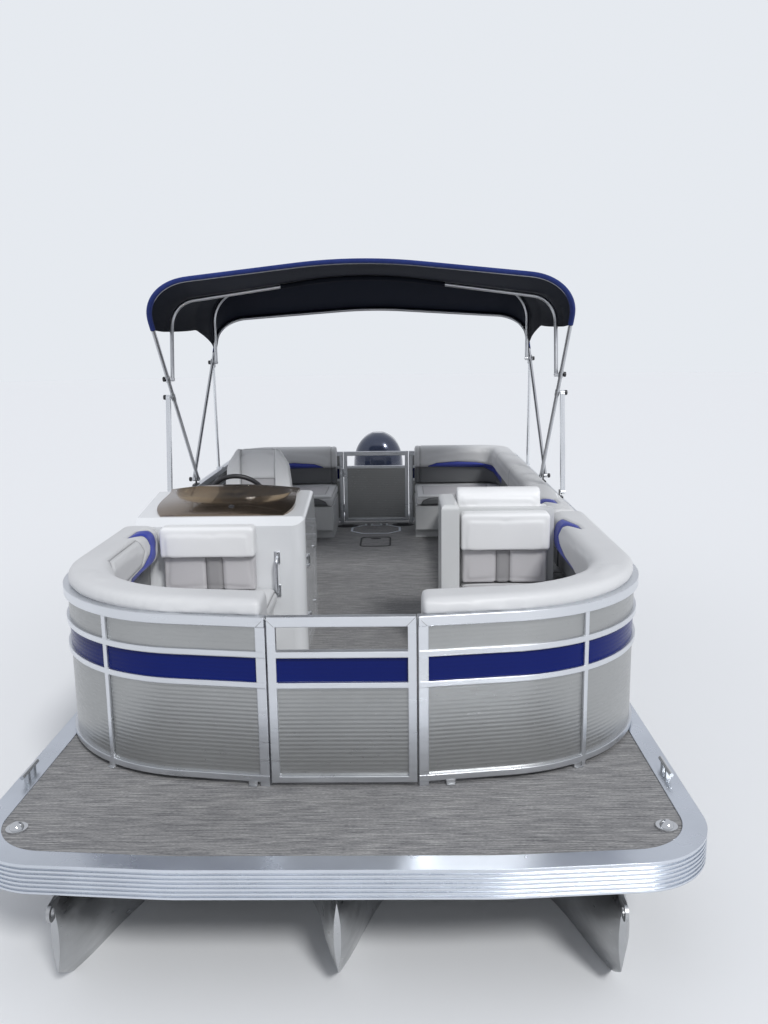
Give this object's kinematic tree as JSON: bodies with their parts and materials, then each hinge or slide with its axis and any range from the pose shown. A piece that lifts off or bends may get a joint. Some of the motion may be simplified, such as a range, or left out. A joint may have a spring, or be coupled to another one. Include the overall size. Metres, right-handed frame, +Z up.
{
  "type": "pontoon boat",
  "caption": "Pontoon boat with aluminium tubes, a fenced deck, lounges, a helm console, a folding sunshade and an outboard motor.",
  "frame": {"origin": "on the waterline, on the centre line at the deck's mid length", "axes": "+X to port, -Y to the bow, +Z up"},
  "size_m": [2.594, 7.0771, 3.2694],
  "materials": {
    "tube_aluminium": "mill aluminium, lightly brushed",
    "frame_aluminium": "mill aluminium",
    "rail": "bright anodised aluminium",
    "panel_silver": "silver grey paint, fine horizontal ribs",
    "panel_blue": "gloss royal blue paint",
    "trim": "anodised ribbed trim",
    "deck_vinyl": "woven grey vinyl",
    "vinyl_light": "light grey marine vinyl",
    "vinyl_mid": "mid grey marine vinyl",
    "moulded_white": "moulded white plastic",
    "cowl_bronze": "bronze metallic gloss",
    "tinted_screen": "brown tinted clear plastic",
    "stainless": "polished stainless steel",
    "black_plastic": "black moulded plastic",
    "dark_rubber": "soft black grip",
    "frame_grey": "dark grey anodised tube",
    "strut_bright": "bright aluminium tube",
    "canvas_navy": "navy acrylic canvas",
    "engine_dark": "dark navy gloss paint",
    "engine_grey": "dark grey satin paint"
  },
  "bodies": {
    "root": {"aft_main_bow": "frame_grey", "canopy": "canvas_navy", "centre_tube": "tube_aluminium", "chair_pedestal": "stainless", "clamp_bracket": "engine_grey", "console": "moulded_white", "console_cowl": "cowl_bronze", "cross_members": "frame_aluminium", "deck": "deck_vinyl", "deck_fittings": "stainless", "fixed_hinges": "rail", "grab_rail": "stainless", "motor_pod": "frame_aluminium", "port_bow_backrest": "vinyl_light", "port_bow_base": "moulded_white", "port_bow_bolster": "vinyl_light", "port_bow_fence": "rail", "port_bow_seat": "vinyl_light", "port_headrest": "vinyl_light", "port_panels": "panel_silver", "port_side_fence": "rail", "port_stern_base": "moulded_white", "port_stern_bolster": "vinyl_light", "port_stern_fence": "rail", "port_stern_seat": "vinyl_light", "port_stripe": "panel_blue", "port_tube": "tube_aluminium", "rear_struts": "strut_bright", "rub_rail": "trim", "starboard_bow_backrest": "vinyl_light", "starboard_bow_base": "moulded_white", "starboard_bow_bolster": "vinyl_light", "starboard_bow_fence": "rail", "starboard_bow_seat": "vinyl_light", "starboard_panels": "panel_silver", "starboard_side_fence": "rail", "starboard_stern_base": "moulded_white", "starboard_stern_bolster": "vinyl_light", "starboard_stern_fence": "rail", "starboard_stern_seat": "vinyl_light", "starboard_stripe": "panel_blue", "starboard_tube": "tube_aluminium", "sunshade_feet": "black_plastic", "windscreen": "tinted_screen"},
    "bow_gate": {"bow_gate": "rail"},
    "stern_gate": {"stern_gate": "rail"},
    "hatch": {"hatch_lid": "deck_vinyl"},
    "console_door": {"console_door": "vinyl_mid"},
    "helm_chair": {"helm_chair": "vinyl_light"},
    "steering_wheel": {"steering_wheel": "dark_rubber"},
    "engine_bracket": {"swivel_bracket": "engine_grey"},
    "engine": {"engine_leg": "engine_grey", "engine_cowl": "engine_dark"},
    "propeller": {"propeller": "engine_grey"},
    "ladder_upper": {"ladder_upper": "stainless"},
    "ladder_lower": {"ladder_lower": "stainless"},
    "front_main_bow": {"front_main_bow": "frame_grey"},
    "front_second_bow": {"front_second_bow": "frame_grey"},
    "aft_second_bow": {"aft_second_bow": "frame_grey"},
    "front_struts": {"front_struts": "strut_bright"}
  },
  "joints": [
    {"name": "bow_gate_hinge", "type": "hinge", "parent": "root", "child": "bow_gate", "pos_m": [-0.283, -2.645, 0.8], "axis": [0, 0, 1], "range_deg": [0, 95]},
    {"name": "stern_gate_hinge", "type": "hinge", "parent": "root", "child": "stern_gate", "pos_m": [-0.307, 2.514, 0.8], "axis": [0, 0, -1], "range_deg": [0, 88]},
    {"name": "hatch_hinge", "type": "hinge", "parent": "root", "child": "hatch", "pos_m": [0, 2.408, 0.506], "axis": [-1, 0, 0], "range_deg": [0, 80]},
    {"name": "console_door_hinge", "type": "hinge", "parent": "root", "child": "console_door", "pos_m": [-0.282, -1.072, 0.8], "axis": [0, 0, -1], "range_deg": [0, 100]},
    {"name": "chair_swivel", "type": "hinge", "parent": "root", "child": "helm_chair", "pos_m": [-0.815, 0.43, 0.83], "axis": [0, 0, 1], "range_deg": [-180, 180]},
    {"name": "engine_tilt", "type": "hinge", "parent": "root", "child": "engine_bracket", "pos_m": [0, 3.29, 0.49], "axis": [1, 0, 0], "range_deg": [0, 60]},
    {"name": "engine_steer", "type": "hinge", "parent": "engine_bracket", "child": "engine", "pos_m": [0, 3.34, 0.37], "axis": [0, 0, 1], "range_deg": [-30, 30]},
    {"name": "propeller_spin", "type": "hinge", "parent": "engine", "child": "propeller", "pos_m": [0, 3.68, -0.385], "axis": [0, 1, 0], "continuous": true},
    {"name": "wheel_turn", "type": "hinge", "parent": "root", "child": "steering_wheel", "pos_m": [-0.76, -0.505, 1.262], "axis": [0, 0.8726, 0.4884], "range_deg": [-540, 540]},
    {"name": "ladder_swing", "type": "hinge", "parent": "root", "child": "ladder_upper", "pos_m": [0, 3.28, 0.538], "axis": [-1, 0, 0], "range_deg": [0, 260]},
    {"name": "ladder_unfold", "type": "hinge", "parent": "ladder_upper", "child": "ladder_lower", "pos_m": [0, 2.732, 0.556], "axis": [1, 0, 0], "range_deg": [0, 180]},
    {"name": "sunshade_fold", "type": "hinge", "parent": "root", "child": "front_main_bow", "pos_m": [0, 0.58, 1.222], "axis": [-1, 0, 0], "range_deg": [0, 84.65], "deforming": ["canopy"]},
    {"name": "front_second_fold", "type": "hinge", "parent": "front_main_bow", "child": "front_second_bow", "pos_m": [0, -0.1277, 1.97037], "axis": [1, 0, 0], "range_deg": [0, 53]},
    {"name": "aft_second_fold", "type": "hinge", "parent": "root", "child": "aft_second_bow", "pos_m": [0, 1.43961, 2.0449], "axis": [-1, 0, 0], "range_deg": [0, 43]},
    {"name": "front_strut_fold", "type": "hinge", "parent": "front_main_bow", "child": "front_struts", "pos_m": [0, -0.01364, 1.84976], "axis": [1, 0, 0], "range_deg": [0, 48]}
  ],
  "couplings": [
    {"joint": "wheel_turn", "follows": "engine_steer", "ratio": 18},
    {"joint": "ladder_unfold", "follows": "ladder_swing", "ratio": 0.69231},
    {"joint": "front_second_fold", "follows": "sunshade_fold", "ratio": 0.61902},
    {"joint": "aft_second_fold", "follows": "sunshade_fold", "ratio": 0.49616},
    {"joint": "front_strut_fold", "follows": "sunshade_fold", "ratio": 0.55877}
  ]
}
